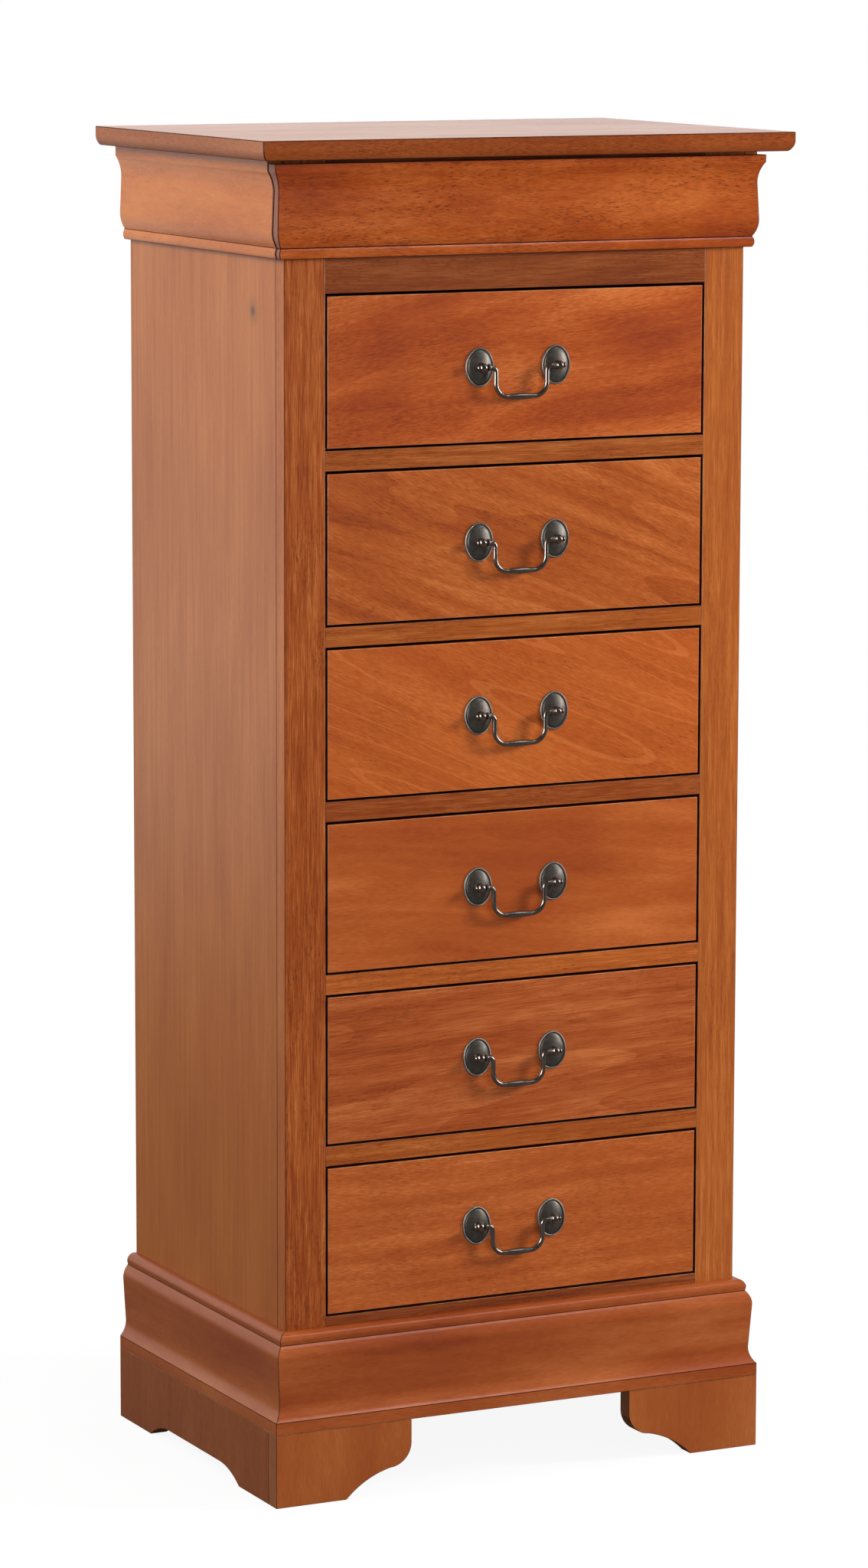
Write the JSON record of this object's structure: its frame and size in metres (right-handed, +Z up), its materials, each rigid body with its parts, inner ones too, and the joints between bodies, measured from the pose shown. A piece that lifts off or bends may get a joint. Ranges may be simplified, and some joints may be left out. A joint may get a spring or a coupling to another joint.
{
  "type": "chest of drawers",
  "caption": "Tall narrow chest of drawers with a moulded cornice, face frame, drop-bail pulls, moulded base and bracket feet; every drawer slides and every bail swings.",
  "frame": {"origin": "on the floor, under the middle of the top board's outline", "axes": "+Z up, front and drawer pulls towards -Y, +X to the right of someone who looks at the front"},
  "size_m": [0.56, 0.392, 1.295],
  "materials": {
    "top_wood": "satin lacquered cherry stain",
    "side_wood": "satin lacquered cherry stain",
    "frame_wood": "satin lacquered cherry stain",
    "front_wood": "satin lacquered cherry stain",
    "moulding_wood": "satin lacquered cherry stain",
    "foot_wood": "satin lacquered cherry stain",
    "drawer_wood": "clear sealed pale hardwood",
    "panel_wood": "unfinished thin plywood",
    "frame_stock": "unfinished planed hardwood",
    "pull_metal": "dark antiqued metal, rubbed bright on the high edges"
  },
  "bodies": {
    "case": {"top_panel": "top_wood", "back_panel": "panel_wood", "back_apron": "frame_stock", "corner_blocks": "frame_stock", "drawer_runners": "frame_stock", "side_guides": "frame_stock", "side_panel_left": "side_wood", "stile_left": "frame_wood", "cornice_left": "moulding_wood", "base_moulding_left": "moulding_wood", "foot_bracket_left": "foot_wood", "side_skirt_left": "foot_wood", "side_panel_right": "side_wood", "stile_right": "frame_wood", "cornice_right": "moulding_wood", "base_moulding_right": "moulding_wood", "foot_bracket_right": "foot_wood", "side_skirt_right": "foot_wood", "base_moulding_front": "moulding_wood", "crown_rail": "frame_wood", "top_rail": "frame_wood", "bottom_rail": "frame_wood", "divider_rail_1": "frame_wood", "divider_rail_2": "frame_wood", "divider_rail_3": "frame_wood", "divider_rail_4": "frame_wood", "divider_rail_5": "frame_wood"},
    "drawer_1": {"drawer_1_front": "front_wood", "drawer_1_box": "drawer_wood", "drawer_1_bottom": "panel_wood", "drawer_1_pull": "pull_metal"},
    "bail_1": {"drawer_1_bail": "pull_metal"},
    "drawer_2": {"drawer_2_front": "front_wood", "drawer_2_box": "drawer_wood", "drawer_2_bottom": "panel_wood", "drawer_2_pull": "pull_metal"},
    "bail_2": {"drawer_2_bail": "pull_metal"},
    "drawer_3": {"drawer_3_front": "front_wood", "drawer_3_box": "drawer_wood", "drawer_3_bottom": "panel_wood", "drawer_3_pull": "pull_metal"},
    "bail_3": {"drawer_3_bail": "pull_metal"},
    "drawer_4": {"drawer_4_front": "front_wood", "drawer_4_box": "drawer_wood", "drawer_4_bottom": "panel_wood", "drawer_4_pull": "pull_metal"},
    "bail_4": {"drawer_4_bail": "pull_metal"},
    "drawer_5": {"drawer_5_front": "front_wood", "drawer_5_box": "drawer_wood", "drawer_5_bottom": "panel_wood", "drawer_5_pull": "pull_metal"},
    "bail_5": {"drawer_5_bail": "pull_metal"},
    "drawer_6": {"drawer_6_front": "front_wood", "drawer_6_box": "drawer_wood", "drawer_6_bottom": "panel_wood", "drawer_6_pull": "pull_metal"},
    "bail_6": {"drawer_6_bail": "pull_metal"},
    "cornice_drawer": {"cornice_drawer_front": "moulding_wood", "cornice_drawer_box": "drawer_wood", "cornice_drawer_bottom": "panel_wood"}
  },
  "joints": [
    {"name": "drawer_1_slide", "type": "slide", "parent": "case", "child": "drawer_1", "axis": [0, -1, 0], "range_m": [0, 0.25]},
    {"name": "bail_1_swing", "type": "hinge", "parent": "drawer_1", "child": "bail_1", "pos_m": [0, -0.16921, 1.0781], "axis": [-1, 0, 0], "range_deg": [-9, 189]},
    {"name": "drawer_2_slide", "type": "slide", "parent": "case", "child": "drawer_2", "axis": [0, -1, 0], "range_m": [0, 0.25]},
    {"name": "bail_2_swing", "type": "hinge", "parent": "drawer_2", "child": "bail_2", "pos_m": [0, -0.16921, 0.9125], "axis": [-1, 0, 0], "range_deg": [-9, 189]},
    {"name": "drawer_3_slide", "type": "slide", "parent": "case", "child": "drawer_3", "axis": [0, -1, 0], "range_m": [0, 0.25]},
    {"name": "bail_3_swing", "type": "hinge", "parent": "drawer_3", "child": "bail_3", "pos_m": [0, -0.16921, 0.7469], "axis": [-1, 0, 0], "range_deg": [-9, 189]},
    {"name": "drawer_4_slide", "type": "slide", "parent": "case", "child": "drawer_4", "axis": [0, -1, 0], "range_m": [0, 0.25]},
    {"name": "bail_4_swing", "type": "hinge", "parent": "drawer_4", "child": "bail_4", "pos_m": [0, -0.16921, 0.5813], "axis": [-1, 0, 0], "range_deg": [-9, 189]},
    {"name": "drawer_5_slide", "type": "slide", "parent": "case", "child": "drawer_5", "axis": [0, -1, 0], "range_m": [0, 0.25]},
    {"name": "bail_5_swing", "type": "hinge", "parent": "drawer_5", "child": "bail_5", "pos_m": [0, -0.16921, 0.4157], "axis": [-1, 0, 0], "range_deg": [-9, 189]},
    {"name": "drawer_6_slide", "type": "slide", "parent": "case", "child": "drawer_6", "axis": [0, -1, 0], "range_m": [0, 0.25]},
    {"name": "bail_6_swing", "type": "hinge", "parent": "drawer_6", "child": "bail_6", "pos_m": [0, -0.16921, 0.2501], "axis": [-1, 0, 0], "range_deg": [-9, 189]},
    {"name": "cornice_drawer_slide", "type": "slide", "parent": "case", "child": "cornice_drawer", "axis": [0, -1, 0], "range_m": [0, 0.25]}
  ]
}
